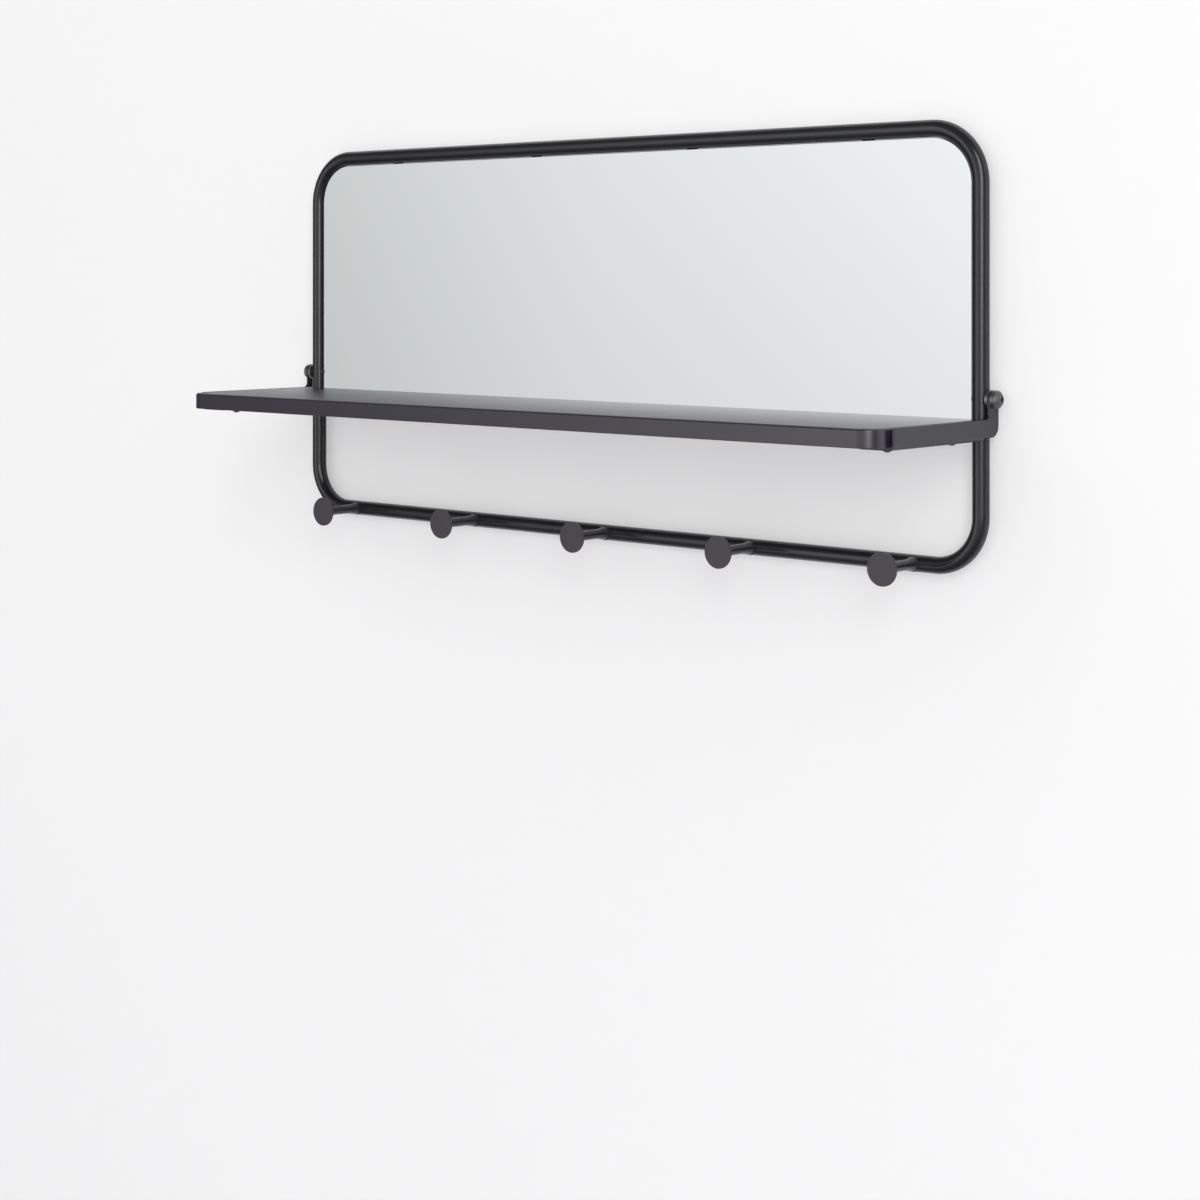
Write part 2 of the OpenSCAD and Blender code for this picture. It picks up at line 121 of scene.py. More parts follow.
def slab(name, outline, place, depth):
    # Extrudes an outline of (u, v) points by depth; place turns (u, v, w) into a point of the object
    bm = bmesh.new()
    near = [bm.verts.new(place(u, v, 0)) for u, v in outline]
    far = [bm.verts.new(place(u, v, depth)) for u, v in outline]
    bm.faces.new(near)
    bm.faces.new(reversed(far))
    for i in range(len(outline)):
        j = (i + 1) % len(outline)
        bm.faces.new((near[j], near[i], far[i], far[j]))
    bmesh.ops.recalc_face_normals(bm, faces=bm.faces)
    return pieceFrom(name, bm)


def bridge(bm, rings):
    # Faces between each closed ring of points and the next; a ring of one point is a pole
    count = max(len(ring) for ring in rings)
    for lower, upper in zip(rings, rings[1:]):
        for i in range(count):
            j = (i + 1) % count
            around = ((lower, i), (lower, j), (upper, j), (upper, i))
            corners = list(dict.fromkeys(ring[k % len(ring)] for ring, k in around))
            if len(corners) > 2:
                bm.faces.new(corners)


def lathed(name, profile, turns):
    # Spins (radius, height) points round Z; a radius of 0 at either end closes the shape
    bm = bmesh.new()
    angles = [2 * math.pi * i / turns for i in range(turns)]
    rings = []
    for radius, height in profile:
        around = angles if radius else [0]
        rings.append([bm.verts.new((radius * math.cos(a), radius * math.sin(a), height)) for a in around])
    bridge(bm, rings)
    bmesh.ops.recalc_face_normals(bm, faces=bm.faces)
    return pieceFrom(name, bm)


def easedRim(radius, thickness, soft):
    # Outer side of a round plate with eased edges, as (radius, height) points
    inset = soft * 0.3  # less than half of soft, so the ease is rounded
    lower = [(radius - soft, 0), (radius - inset, inset), (radius, soft)]
    return lower + [(spot, thickness - height) for spot, height in reversed(lower)]


def wear(piece, *finishes):
    piece.data.materials.clear()
    for finish in finishes:
        piece.data.materials.append(finish)


def settle(piece, body, slotName, *nodeNames):
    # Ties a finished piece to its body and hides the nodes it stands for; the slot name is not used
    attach(piece, body)
    if nodeNames:
        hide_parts(*nodeNames)


def softened(nodeName, width, finish, body, slotName):
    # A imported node's own shape with its sharp edges eased, standing for the node
    bm = bmesh.new()
    bm.from_mesh(frame["nodes"][nodeName].data)
    bmesh.ops.remove_doubles(bm, verts=bm.verts, dist=meshCare["packed gap"])
    bmesh.ops.dissolve_limit(bm, angle_limit=meshCare["same plane"], verts=bm.verts, edges=bm.edges)
    piece = bevelled(pieceFrom(nodeName + "_eased", bm), width, easedEdges["steps"])
    wear(piece, finish)
    settle(piece, body, slotName, nodeName)


def wire(tree, source, target):
    # A socket is linked to the target; a plain number, colour or word is set on it
    if isinstance(source, bpy.types.NodeSocket):
        tree.links.new(source, target)
    else:
        target.default_value = source


def feed(tree, node, inputs):
    for label, source in inputs.items():
        wire(tree, source, node.inputs[label])


def addNode(tree, kind, inputs=None, **settings):
    node = tree.nodes.new(kind)
    for key, value in settings.items():
        setattr(node, key, value)
    feed(tree, node, inputs or {})
    return node


def maths(tree, operation, *terms):
    return addNode(tree, "ShaderNodeMath", dict(enumerate(terms)), operation=operation).outputs[0]


def newTree(kind, name, takes, gives):
    # takes and gives map the label of each socket to its kind
    tree = bpy.data.node_groups.new(name, kind)
    for side, sockets in (("INPUT", takes), ("OUTPUT", gives)):
        for label, socketKind in sockets.items():
            tree.interface.new_socket(label, in_out=side, socket_type=socketKind)
    return tree, addNode(tree, "NodeGroupInput").outputs, addNode(tree, "NodeGroupOutput").inputs


def newShapeTree(name, sizes):
    # A geometry tree with a Geometry input, named inputs for its sizes and a Finish
    takes = {"Geometry": "NodeSocketGeometry", **sizes, "Finish": "NodeSocketMaterial"}
    tree, given, made = newTree("GeometryNodeTree", name, takes, {"Geometry": "NodeSocketGeometry"})
    tree.is_modifier = True
    return tree, given, made


def closeShapeTree(tree, given, made, geometry):
    real = addNode(tree, "GeometryNodeRealizeInstances", {"Geometry": geometry}).outputs["Geometry"]
    worn = addNode(tree, "GeometryNodeSetMaterial", {"Geometry": real, "Material": given["Finish"]})
    wire(tree, worn.outputs["Geometry"], made["Geometry"])


def shapeFromTree(name, tree, values, start=None):
    # Runs a geometry tree on a start mesh and keeps the result as a plain mesh
    piece = objectFrom(name, start or bpy.data.meshes.new(name))
    modifier = piece.modifiers.new("shape", "NODES")
    modifier.node_group = tree
    keys = {item.name: item.identifier for item in tree.interface.items_tree if item.in_out == "INPUT"}
    for label, value in values.items():
        modifier[keys[label]] = value
    applied(piece)
    bm = bmesh.new()
    bm.from_mesh(piece.data)
    bmesh.ops.remove_doubles(bm, verts=bm.verts, dist=meshCare["made gap"])
    bmesh.ops.recalc_face_normals(bm, faces=bm.faces)
    bm.to_mesh(piece.data)
    bm.free()
    return shaded(piece)


def makeGrain():
    # Fine pebbled coat: a height for bump, and a slow drift for colour and gloss
    takes = {"Grain Size": "NodeSocketFloat", "Drift Size": "NodeSocketFloat"}
    gives = {"Height": "NodeSocketFloat", "Drift": "NodeSocketFloat"}
    tree, given, made = newTree("ShaderNodeTree", "coatGrain", takes, gives)
    coords = addNode(tree, "ShaderNodeTexCoord").outputs["Object"]
    fine = maths(tree, "DIVIDE", 1, given["Grain Size"])
    slow = maths(tree, "DIVIDE", 1, given["Drift Size"])
    pebbles = addNode(tree, "ShaderNodeTexVoronoi", {"Vector": coords, "Scale": fine, "Smoothness": 0.8},
                      feature="SMOOTH_F1").outputs["Distance"]
    fuzz = addNode(tree, "ShaderNodeTexNoise", {"Vector": coords, "Scale": fine, "Detail": 3}).outputs["Fac"]
    cloud = addNode(tree, "ShaderNodeTexNoise", {"Vector": coords, "Scale": slow, "Detail": 2}).outputs["Fac"]
    wire(tree, maths(tree, "MULTIPLY_ADD", pebbles, 0.6, fuzz), made["Height"])
    wire(tree, maths(tree, "SUBTRACT", cloud, 0.5), made["Drift"])
    return tree


grain = makeGrain()


def grainAt(tree, grainSize, driftSize):
    sizes = {"Grain Size": grainSize, "Drift Size": driftSize}
    return addNode(tree, "ShaderNodeGroup", sizes, node_tree=grain).outputs


def ramped(tree, source, start, end, first=0, last=1):
    # Goes from first to last while source goes from start to end
    inputs = {"Value": source, "From Min": start, "From Max": end, "To Min": first, "To Max": last}
    return addNode(tree, "ShaderNodeMapRange", inputs).outputs["Result"]


def mixed(tree, share, first, second, mode="MIX"):
    inputs = {"Factor": share, "A": first, "B": second}
    return addNode(tree, "ShaderNodeMix", inputs, data_type="RGBA", blend_type=mode).outputs["Result"]


def driftRoughness(tree, drift, base, spread):
    return maths(tree, "MULTIPLY_ADD", drift, spread, base)


def bumpFrom(tree, height, strength, distance):
    inputs = {"Strength": strength, "Distance": distance, "Height": height}
    return addNode(tree, "ShaderNodeBump", inputs).outputs["Normal"]


def newFinish(name):
    finish = bpy.data.materials.new(name)
    finish.use_nodes = True
    tree = finish.node_tree
    return finish, tree, tree.nodes["Principled BSDF"]


coatDrift = {"size": 70 * mm, "reach": 0.25}


def coatFinish(name, dark, light, roughness, grainSize, depth, strength=0.5, spread=0.06):
    # A coat whose colour drifts between dark and light, and its gloss by spread
    finish, tree, shader = newFinish(name)
    texture = grainAt(tree, grainSize, coatDrift["size"])
    share = ramped(tree, texture["Drift"], -coatDrift["reach"], coatDrift["reach"])
    feed(tree, shader, {"Base Color": mixed(tree, share, (*dark, 1), (*light, 1)),
                        "Roughness": driftRoughness(tree, texture["Drift"], roughness, spread),
                        "Normal": bumpFrom(tree, texture["Height"], strength, depth)})
    return finish


tubeCoat = coatFinish("tubeCoat", dark=(0.0122, 0.0128, 0.0152), light=(0.0148, 0.0155, 0.0185),
                      roughness=0.25, grainSize=0.45 * mm, depth=0.006 * mm, strength=0.2)
discCoat = coatFinish("discCoat", dark=(0.043, 0.037, 0.046), light=(0.051, 0.043, 0.056),
                      roughness=0.42, grainSize=0.45 * mm, depth=0.012 * mm, strength=0.3)
bracketCoat = coatFinish("bracketCoat", dark=(0.019, 0.019, 0.023), light=(0.023, 0.023, 0.028),
                         roughness=0.42, grainSize=0.45 * mm, depth=0.01 * mm, strength=0.3)
shelfLacquer = coatFinish("shelfLacquer", dark=(0.0165, 0.0125, 0.0235), light=(0.0195, 0.015, 0.028),
                          roughness=0.33, grainSize=0.5 * mm, depth=0.004 * mm, strength=0.1, spread=0.03)
wallRubber = coatFinish("wallRubber", dark=(0.012, 0.012, 0.012), light=(0.02, 0.02, 0.02),
                        roughness=0.75, grainSize=0.3 * mm, depth=0.03 * mm)
foamTape = coatFinish("foamTape", dark=(0.72, 0.72, 0.69), light=(0.82, 0.82, 0.8),
                      roughness=0.85, grainSize=0.35 * mm, depth=0.05 * mm)
# Near-black finish laid in the bolts' driver recesses: painted shade in the hollows
paintedRecessShade = coatFinish("paintedRecessShade", dark=(0.004, 0.004, 0.004), light=(0.006, 0.006, 0.006),
                         roughness=0.6, grainSize=0.3 * mm, depth=0.01 * mm)
mirrorPaint = coatFinish("mirrorPaint", dark=(0.16, 0.17, 0.17), light=(0.2, 0.21, 0.21),
                         roughness=0.6, grainSize=0.8 * mm, depth=0.02 * mm)


# Painted sheen on the shelf: ramps of specular level and roughness by position, standing in for how the light
# falls
shelfPaintedSheen = {"left to right": (0.56, 0.8), "sheen margin": 10 * mm, "back": -0.18, "left": 0.12}


def paintShelfSheen():
    # Painted sheen: the lacquer's specular level rises to the right, and its roughness falls towards the back
    # of the top and rises to the left, laid on by position to copy how the light falls
    tree = shelfLacquer.node_tree
    shader = tree.nodes["Principled BSDF"]
    low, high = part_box("shelf_board")
    coords = addNode(tree, "ShaderNodeTexCoord")
    parts = addNode(tree, "ShaderNodeSeparateXYZ", {0: coords.outputs["Object"]}).outputs
    paintedShine = ramped(tree, parts["X"], low.x, high.x, *shelfPaintedSheen["left to right"])
    sheenToBack = ramped(tree, parts["Y"], low.y + shelfPaintedSheen["sheen margin"], high.y, 0, shelfPaintedSheen["back"])
    dullerToLeft = ramped(tree, parts["X"], low.x, 0, shelfPaintedSheen["left"], 0)
    drifting = shader.inputs["Roughness"].links[0].from_socket
    sheenRoughness = maths(tree, "ADD", maths(tree, "ADD", drifting, sheenToBack), dullerToLeft)
    feed(tree, shader, {"Specular IOR Level": paintedShine, "Roughness": sheenRoughness})


paintShelfSheen()


plating = {"grain": 0.25 * mm, "drift": 4 * mm, "spread": 0.2, "strength": 0.2, "depth": 0.01 * mm}


def metalFinish(name, colour, roughness):
    # Plated steel with a fine grain and an uneven gloss
    finish, tree, shader = newFinish(name)
    texture = grainAt(tree, plating["grain"], plating["drift"])
    feed(tree, shader, {"Base Color": (*colour, 1), "Metallic": 1,
                        "Roughness": driftRoughness(tree, texture["Drift"], roughness, plating["spread"]),
                        "Normal": bumpFrom(tree, texture["Height"], plating["strength"], plating["depth"])})
    return finish


brightZinc = metalFinish("brightZinc", (0.55, 0.55, 0.53), 0.3)
dullZinc = metalFinish("dullZinc", (0.27, 0.27, 0.265), 0.48)
darkNickel = metalFinish("darkNickel", (0.17, 0.175, 0.18), 0.58)


glassLook = {"silver": (0.885, 0.898, 0.906, 1), "rim": (0.09, 0.13, 0.12, 1), "rim roughness": 0.15}
boardLook = {"dark": (0.12, 0.062, 0.033, 1), "light": (0.34, 0.205, 0.115, 1), "roughness": 0.62,
             "fibres": {"Scale": 900, "Detail": 6, "Distortion": 2.5}}


def mirrorFinish():
    finish, tree, shader = newFinish("mirrorSilver")
    feed(tree, shader, {"Base Color": glassLook["silver"], "Metallic": 1, "Roughness": 0})
    return finish


def edgeFinish():
    # Greenish rim of the glass, ground a little uneven
    finish, tree, shader = newFinish("glassEdge")
    texture = grainAt(tree, 0.5 * mm, 20 * mm)
    feed(tree, shader, {"Base Color": glassLook["rim"], "Roughness": glassLook["rim roughness"],
                        "Normal": bumpFrom(tree, texture["Height"], 0.2, 0.02 * mm)})
    return finish


def hardboardFinish():
    # Brown pressed board: fine fibres in all directions, with a gloss that drifts slowly
    finish, tree, shader = newFinish("hardboard")
    coords = addNode(tree, "ShaderNodeTexCoord").outputs["Object"]
    fibres = addNode(tree, "ShaderNodeTexNoise", {"Vector": coords, **boardLook["fibres"]}).outputs["Fac"]
    mottle = grainAt(tree, 2 * mm, 40 * mm)
    feed(tree, shader, {"Base Color": mixed(tree, fibres, boardLook["dark"], boardLook["light"]),
                        "Roughness": driftRoughness(tree, mottle["Drift"], boardLook["roughness"], 0.2),
                        "Normal": bumpFrom(tree, fibres, 0.35, 0.12 * mm)})
    return finish


mirrorSilver = mirrorFinish()
glassEdge = edgeFinish()
hardboard = hardboardFinish()
print("finishes made")


tubeSizes = {"top bend": 52 * mm, "bottom bend": 48 * mm, "sides": 72, "bend steps": 36}


def makeTubeTree():
    # Rounded rectangle in the XY plane, stood up and swept with a circle
    tree, given, made = newShapeTree("bentTubeLoop", {
        "Width": "NodeSocketFloat", "Height": "NodeSocketFloat", "Top Bend": "NodeSocketFloat",
        "Bottom Bend": "NodeSocketFloat", "Tube Radius": "NodeSocketFloat", "Sides": "NodeSocketInt",
        "Bend Steps": "NodeSocketInt", "Place": "NodeSocketVector"})
    size = {"Width": given["Width"], "Height": given["Height"]}
    loop = addNode(tree, "GeometryNodeCurvePrimitiveQuadrilateral", size, mode="RECTANGLE").outputs["Curve"]
    where = addNode(tree, "GeometryNodeInputPosition").outputs["Position"]
    parts = addNode(tree, "ShaderNodeSeparateXYZ", {0: where}).outputs
    above = addNode(tree, "FunctionNodeCompare", {"A": parts["Y"]},
                    data_type="FLOAT", operation="GREATER_THAN").outputs["Result"]
    choice = {"Switch": above, "True": given["Top Bend"], "False": given["Bottom Bend"]}
    radius = addNode(tree, "GeometryNodeSwitch", choice, input_type="FLOAT").outputs["Output"]
    corners = {"Curve": loop, "Radius": radius, "Count": given["Bend Steps"]}
    bend = addNode(tree, "GeometryNodeFilletCurve", corners, mode="POLY").outputs["Curve"]
    upright = {"Geometry": bend, "Rotation": (math.pi / 2, 0, 0), "Translation": given["Place"]}
    path = addNode(tree, "GeometryNodeTransform", upright).outputs["Geometry"]
    circle = {"Resolution": given["Sides"], "Radius": given["Tube Radius"]}
    ring = addNode(tree, "GeometryNodeCurvePrimitiveCircle", circle).outputs["Curve"]
    sweep = addNode(tree, "GeometryNodeCurveToMesh", {"Curve": path, "Profile Curve": ring})
    closeShapeTree(tree, given, made, sweep.outputs["Mesh"])
    return tree


def makeTubeFrame():
    values = {"Width": tubeHigh.x - tubeLow.x - tubeDiameter, "Height": tubeHigh.z - tubeLow.z - tubeDiameter,
              "Top Bend": tubeSizes["top bend"], "Bottom Bend": tubeSizes["bottom bend"],
              "Tube Radius": tubeRadius, "Sides": tubeSizes["sides"], "Bend Steps": tubeSizes["bend steps"],
              "Place": (tubeLow + tubeHigh) / 2, "Finish": tubeCoat}
    settle(shapeFromTree("tubeFrame", makeTubeTree(), values), "root", "coat", "frame_tube")


makeTubeFrame()
print("tube frame bent")


mirrorSizes = {"arris": 0.5 * mm, "corner steps": 20}


def makeMirror():
    low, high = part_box("mirror_glass")
    inset = tubeHigh.x - tubeRadius - high.x
    radius = tubeSizes["top bend"] - inset
    steps = mirrorSizes["corner steps"]
    outline = [(low.x, low.z), (high.x, low.z)]
    outline += arcPoints(high.x - radius, high.z - radius, radius, 0, 90, steps)
    outline += arcPoints(low.x + radius, high.z - radius, radius, 90, 180, steps)
    pane = slab("mirrorPane", outline, lambda u, v, w: (u, low.y + w, v), high.y - low.y)
    bevelled(pane, mirrorSizes["arris"], 1)
    wear(pane, mirrorSilver, glassEdge, mirrorPaint)
    for face in pane.data.polygons:
        facing = face.normal.y
        face.material_index = 0 if facing < -0.99 else 2 if facing > 0.99 else 1  # front, back or rim
    settle(pane, "root", "mirror", "mirror_glass")


makeMirror()
for nodeName, finish in (("backing_board", hardboard), ("mirror_tape", foamTape)):
    wear(frame["nodes"][nodeName], finish)
print("mirror and backing made")


shelfSizes = {"corner": 20 * mm, "top edge": 2 * mm, "foot edge": 0.8 * mm, "corner steps": 24,
              "edge steps": 4}


def makeShelf():
    low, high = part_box("shelf_board")
    radius = shelfSizes["corner"]
    steps = shelfSizes["corner steps"]
    outline = [(high.x, high.y), (low.x, high.y)]
    outline += arcPoints(low.x + radius, low.y + radius, radius, 180, 270, steps)
    outline += arcPoints(high.x - radius, low.y + radius, radius, 270, 360, steps)
    board = slab("shelfBoard", outline, lambda u, v, w: (u, v, low.z + w), high.z - low.z)
    # The upper edges are rounder than the lower ones, and the upright edges stay as they are
    weights = board.data.attributes.new("bevel_weight_edge", "FLOAT", "EDGE")
    footShare = shelfSizes["foot edge"] / shelfSizes["top edge"]
    for edge in board.data.edges:
        first, second = [board.data.vertices[index].co.z for index in edge.vertices]
        upright = abs(first - second) > (high.z - low.z) / 2
        upper = first > (low.z + high.z) / 2
        weights.data[edge.index].value = 0 if upright else 1 if upper else footShare
    bevel = board.modifiers.new("edges", "BEVEL")
    bevel.width = shelfSizes["top edge"]
    bevel.segments = shelfSizes["edge steps"]
    bevel.limit_method = "WEIGHT"
    shaded(applied(board))
    wear(board, shelfLacquer)
    settle(board, "shelf", "shelf_lacquer", "shelf_board")


makeShelf()
for side in ("left", "right"):
    softened("bracket_" + side, easedEdges["brackets"], bracketCoat, "shelf", "bracket_coat")
print("shelf and brackets made")


def makeCopiesTree():
    # Sets a copy of Pattern on every point of the start mesh, its +Z along the point's facing
    tree, given, made = newShapeTree("copiesAtPlaces", {"Pattern": "NodeSocketObject"})
    pattern = addNode(tree, "GeometryNodeObjectInfo", {"Object": given["Pattern"]},
                      transform_space="ORIGINAL").outputs["Geometry"]
    facing = addNode(tree, "GeometryNodeInputNamedAttribute", {"Name": "facing"},
                     data_type="FLOAT_VECTOR").outputs["Attribute"]
    turn = addNode(tree, "FunctionNodeAlignRotationToVector", {"Vector": facing}, axis="Z")
    placed = {"Points": given["Geometry"], "Instance": pattern, "Rotation": turn.outputs["Rotation"]}
    copies = addNode(tree, "GeometryNodeInstanceOnPoints", placed).outputs["Instances"]
    closeShapeTree(tree, given, made, copies)
    return tree


copiesTree = makeCopiesTree()


def copiesOf(name, pattern, places, finish):
    # places is a list of (point, facing) pairs; the pattern piece is used up
    mesh = bpy.data.meshes.new(name)
    mesh.from_pydata([tuple(point) for point, _ in places], [], [])
    mesh.attributes.new("facing", "FLOAT_VECTOR", "POINT").data.foreach_set(
        "vector", [value for _, direction in places for value in direction])
    piece = shapeFromTree(name, copiesTree, {"Pattern": pattern, "Finish": finish}, mesh)
    bpy.data.objects.remove(pattern)
    return piece


hookSizes = {"rod": 5 * mm, "root": 7 * mm, "flare": 10 * mm, "sides": 48, "rings": 14,
             "disc chamfer": 0.5 * mm, "disc turns": 96}
hookNumbers = range(1, 6)


def hookArmPattern(discBack):
    # Rod along +Z from the disc to the tube, flaring into a saddle that wraps the tube
    rod, root, flare, sides = [hookSizes[size] for size in ("rod", "root", "flare", "sides")]
    straight = tubeY - discBack - tubeRadius - flare
    widen = root - rod
    curve = (flare ** 2 + widen ** 2) / (2 * widen)
    steps = [(0, rod), (straight, rod)]
    for i in range(1, hookSizes["rings"] + 1):
        along = flare * i / hookSizes["rings"]
        steps.append((straight + along, rod + curve - math.sqrt(curve ** 2 - along ** 2)))
    bm = bmesh.new()
    rings = []
    for height, radius in steps:
        share = max(0, (height - straight) / flare)
        ring = []
        for i in range(sides):
            angle = 2 * math.pi * i / sides
            edge = root * math.sin(angle)
            wrap = tubeRadius - math.sqrt(tubeRadius ** 2 - edge ** 2)
            spot = (radius * math.cos(angle), radius * math.sin(angle), height + share ** 2 * wrap)
            ring.append(bm.verts.new(spot))
        rings.append(ring)
    bridge(bm, rings)
    bm.faces.new(reversed(rings[0]))
    bm.faces.new(rings[-1])
    return pieceFrom("hookArmPattern", bm)


def makeHooks():
    discLow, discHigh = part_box("hook_disc_1")
    centres = [middle("hook_disc_%d" % i) for i in hookNumbers]
    back = (0, 1, 0)
    armPlaces = [((spot.x, discHigh.y, spot.z), back) for spot in centres]
    arms = copiesOf("hookArms", hookArmPattern(discHigh.y), armPlaces, tubeCoat)
    settle(arms, "root", "coat", *["hook_arm_%d" % i for i in hookNumbers])
    radius, thickness = (discHigh.x - discLow.x) / 2, discHigh.y - discLow.y
    profile = [(0, 0)] + easedRim(radius, thickness, hookSizes["disc chamfer"]) + [(0, thickness)]
    pattern = lathed("discPattern", profile, hookSizes["disc turns"])
    discPlaces = [((spot.x, discLow.y, spot.z), back) for spot in centres]
    discs = copiesOf("hookDiscs", pattern, discPlaces, discCoat)
    settle(discs, "root", "disc_coat", *["hook_disc_%d" % i for i in hookNumbers])


makeHooks()
print("hooks made")


beadSizes = {"radius": 0.7 * mm, "ripple": 1.3 * mm, "rings to a ripple": 6, "depth": 0.16, "sides": 10,
             "path steps": 60}


def makeBeadTree():
    # Sweeps a rippled bead along every path of the start mesh
    tree, given, made = newShapeTree("weldBeads", {
        "Bead Radius": "NodeSocketFloat", "Ripple Length": "NodeSocketFloat",
        "Ripple Depth": "NodeSocketFloat", "Sides": "NodeSocketInt"})
    path = addNode(tree, "GeometryNodeMeshToCurve", {"Mesh": given["Geometry"]}).outputs["Curve"]
    step = maths(tree, "DIVIDE", given["Ripple Length"], beadSizes["rings to a ripple"])
    even = addNode(tree, "GeometryNodeResampleCurve", {"Curve": path, "Length": step}, mode="LENGTH")
    along = addNode(tree, "GeometryNodeSplineParameter").outputs["Length"]
    turns = maths(tree, "DIVIDE", along, given["Ripple Length"])
    wave = maths(tree, "SINE", maths(tree, "MULTIPLY", turns, 2 * math.pi))
    swell = maths(tree, "MULTIPLY_ADD", wave, given["Ripple Depth"], 1)
    circle = {"Resolution": given["Sides"], "Radius": given["Bead Radius"]}
    ring = addNode(tree, "GeometryNodeCurvePrimitiveCircle", circle).outputs["Curve"]
    swept = {"Curve": even.outputs["Curve"], "Profile Curve": ring, "Scale": swell}
    closeShapeTree(tree, given, made, addNode(tree, "GeometryNodeCurveToMesh", swept).outputs["Mesh"])
    return tree


def makeHookWelds():
    # One closed path round the foot of each hook, on the tube
    corners, edges = [], []
    steps = beadSizes["path steps"]
    for i in hookNumbers:
        spotX = middle("hook_disc_%d" % i).x
        first = len(corners)
        for j in range(steps):
            angle = 2 * math.pi * j / steps
            up = hookSizes["root"] * math.sin(angle)
            corners.append((spotX + hookSizes["root"] * math.cos(angle),
                            tubeY - math.sqrt(tubeRadius ** 2 - up ** 2), railZ + up))
            edges.append((first + j, first + (j + 1) % steps))
    mesh = bpy.data.meshes.new("hookWelds")
    mesh.from_pydata(corners, edges, [])
    values = {"Bead Radius": beadSizes["radius"], "Ripple Length": beadSizes["ripple"],
              "Ripple Depth": beadSizes["depth"], "Sides": beadSizes["sides"], "Finish": tubeCoat}
    settle(shapeFromTree("hookWelds", makeBeadTree(), values, mesh), "root", "coat")


makeHookWelds()
print("hook welds made")


boltSizes = {"head": 7.5 * mm, "height": 4.2 * mm, "shank": 3 * mm, "length": 21 * mm,
             "blade": 2 * mm, "span": 6 * mm, "depth": 2.4 * mm}
shelfScrewSizes = {"head": 5 * mm, "height": 4.2 * mm, "shank": 2.25 * mm, "length": 6 * mm,
                   "blade": 1.3 * mm, "span": 4.5 * mm, "depth": 2 * mm}
tabScrewSizes = {"head": 2.8 * mm, "height": 1.8 * mm, "shank": 1.5 * mm, "length": 3 * mm,
                 "blade": 0.8 * mm, "span": 3.2 * mm, "depth": 1.1 * mm}
# Shares of the sizes: a head's width at its seat, and the recess across and along at its foot and mouth
screwShape = {"turns": 48, "dome steps": 10, "seat": 0.97, "recess foot": (0.75, 0.45),
              "recess mouth": (1.1, 1.25), "cutter above": 0.4}
# Limits that pick the bolt-head recess faces for the painted shade
recessShadeFaces = {"below dome": 0.08 * mm, "above washer": 0.1 * mm, "share of head": 0.6}
tabScrewCell = 20 * mm  # width of the cells that sort the points of a packed group


def domeRadius(sizes):
    return (sizes["head"] ** 2 + sizes["height"] ** 2) / (2 * sizes["height"])


def screwProfile(sizes):
    # Round head on z = 0 over a shank that goes down, as (radius, height) points
    dome, steps = domeRadius(sizes), screwShape["dome steps"]
    points = [(0, -sizes["length"]), (sizes["shank"], -sizes["length"]), (sizes["shank"], 0),
              (sizes["head"] * screwShape["seat"], 0)]
    for i in range(steps):
        angle = math.asin(min(1, sizes["head"] / dome)) * (1 - i / steps)
        points.append((dome * math.sin(angle), sizes["height"] - dome + dome * math.cos(angle)))
    return points + [(0, sizes["height"])]


def crossCutter(sizes):
    # Two crossed tapered blades, for the driver recess
    bm = bmesh.new()
    for turn in (0, 90):
        spin = Matrix.Rotation(math.radians(turn), 4, "Z")
        for corner in bmesh.ops.create_cube(bm, size=1)["verts"]:
            foot = corner.co.z < 0
            wide, long = screwShape["recess foot" if foot else "recess mouth"]
            corner.co.x *= sizes["blade"] * wide
            corner.co.y *= sizes["span"] * long
            corner.co.z = sizes["height"] + sizes["depth"] * (-1 if foot else screwShape["cutter above"])
            corner.co = spin @ corner.co
    return pieceFrom("cutter", bm)


def screwPattern(sizes):
    screw = lathed("screwPattern", screwProfile(sizes), screwShape["turns"])
    cutter = crossCutter(sizes)
    cut = screw.modifiers.new("recess", "BOOLEAN")
    cut.operation = "DIFFERENCE"
    cut.solver = "EXACT"
    cut.use_self = True
    cut.object = cutter
    applied(screw)
    bpy.data.objects.remove(cutter)
    return screw


def pivotPlaces(across, outward=1):
    # One place on the bolts' line at each side
    return [((side * across, pivot.y, pivot.z), (side * outward, 0, 0)) for side in (-1, 1)]


def makeBolts():
    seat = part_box("lock_washer_right")[1].x
    bolts = copiesOf("pivotBolts", screwPattern(boltSizes), pivotPlaces(seat), darkNickel)
    wear(bolts, darkNickel, paintedRecessShade)
    radius, dome = boltSizes["head"], domeRadius(boltSizes)
    # The faces that lie below the dome near its middle are the recess, and get the near-black finish as
    # painted shade
    for face in bolts.data.polygons:
        out = abs(face.center.x)
        away = math.hypot(face.center.y - pivot.y, face.center.z - pivot.z)
        surface = seat + boltSizes["height"] - dome + math.sqrt(dome ** 2 - min(away, radius) ** 2)
        face.material_index = int(surface - out > recessShadeFaces["below dome"]
                                  and out > seat + recessShadeFaces["above washer"]
                                  and away < radius * recessShadeFaces["share of head"])
    settle(bolts, "root", "gunmetal", "pivot_bolt_left", "pivot_bolt_right")


def makeShelfScrews():
    names = ["shelf_screw_%s_%s" % (side, end) for side in ("left", "right") for end in ("front", "back")]
    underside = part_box("bracket_left")[0].z
    places = [((middle(name).x, middle(name).y, underside), (0, 0, -1)) for name in names]
    screws = copiesOf("shelfScrews", screwPattern(shelfScrewSizes), places, darkNickel)
    settle(screws, "shelf", "gunmetal", *names)


